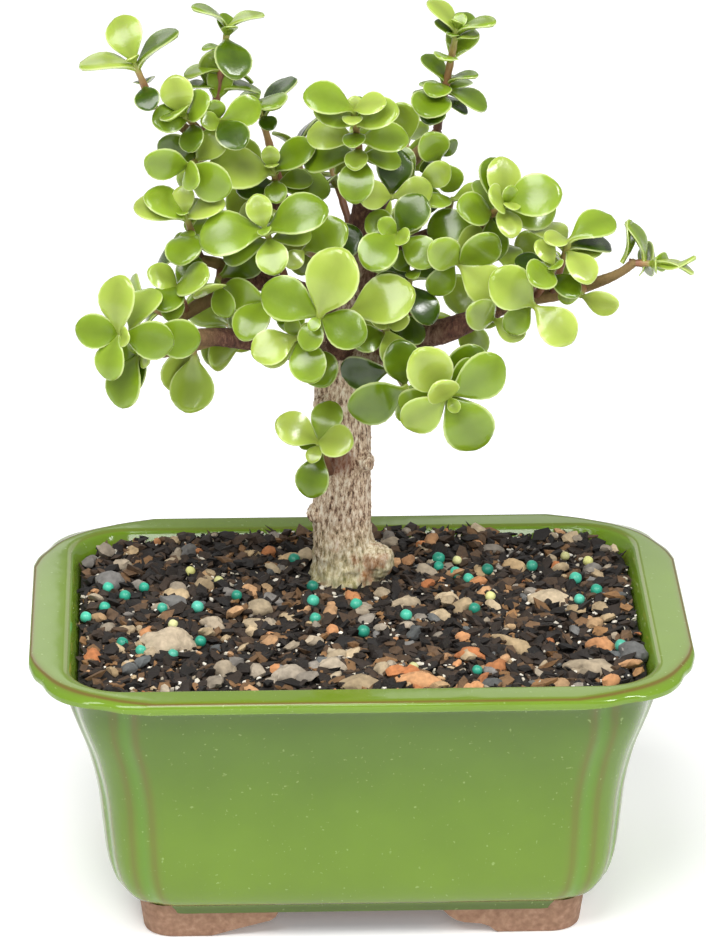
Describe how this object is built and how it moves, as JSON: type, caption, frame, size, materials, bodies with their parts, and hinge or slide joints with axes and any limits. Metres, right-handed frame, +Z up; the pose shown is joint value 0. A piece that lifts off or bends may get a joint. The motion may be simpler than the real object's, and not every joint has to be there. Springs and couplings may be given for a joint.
{
  "type": "jade bonsai in pot",
  "caption": "Small-leaved jade bonsai with a bare tapering trunk and leafy shoots, in gritty soil in a green glazed rectangular footed pot.",
  "frame": {"origin": "middle of the pot's underside, at the height of the feet's undersides", "axes": "+Z up along the trunk, the pictured front faces -Y, +X to the viewer's right"},
  "size_m": [0.1529, 0.1107, 0.2086],
  "materials": {
    "glazed_clay": "gloss",
    "screen_plastic": "matte",
    "potting_mix": "matte",
    "bark": "matte",
    "leaf": "satin"
  },
  "bodies": {
    "root": {"pot": "glazed_clay", "drain_screen_left": "screen_plastic", "drain_screen_right": "screen_plastic", "soil": "potting_mix", "trunk": "bark", "crown_leaves": "leaf", "front_left_leaves": "leaf", "mid_left_leaves": "leaf", "front_big_leaves": "leaf", "low_right_leaves": "leaf", "low_dark_leaves": "leaf", "trunk_shoot_leaves": "leaf", "left_crown_leaves": "leaf", "left_top_leaves": "leaf", "right_top_leaves": "leaf", "right_mid_leaves": "leaf", "right_end_leaves": "leaf", "left_mid_up_leaves": "leaf", "left_end_leaves": "leaf", "left_end_low_leaves": "leaf", "left_hang_leaves": "leaf", "left_hang_side_leaves": "leaf", "right_heart_leaves": "leaf", "heart_right_leaves": "leaf", "heart_low_leaves": "leaf", "front_big_back_leaves": "leaf", "front_left_back_leaves": "leaf", "front_low_leaves": "leaf", "right_round_leaves": "leaf", "left_round_leaves": "leaf", "left_crown_side_leaves": "leaf", "left_drop_leaves": "leaf", "left_top_low_leaves": "leaf", "mid_small_leaves": "leaf", "mid_dark_leaves": "leaf", "mid_under_leaves": "leaf", "crown_right_leaves": "leaf", "crown_drop_leaves": "leaf", "right_top_low_leaves": "leaf", "right_inner_leaves": "leaf", "right_upper_leaves": "leaf", "right_rosette_leaves": "leaf", "right_under_leaves": "leaf", "right_between_leaves": "leaf", "right_hang_leaves": "leaf", "right_outer_low_leaves": "leaf", "left_mid_down_leaves": "leaf", "left_twig_leaves": "leaf", "left_shade_leaves": "leaf", "left_fork_up_leaves": "leaf", "back_left_leaves": "leaf", "back_high_leaves": "leaf", "back_right_leaves": "leaf", "back_mid_leaves": "leaf", "back_heart_leaves": "leaf", "back_low_right_leaves": "leaf", "back_low_left_leaves": "leaf", "back_low_leaves": "leaf", "back_far_right_leaves": "leaf"}
  },
  "joints": []
}
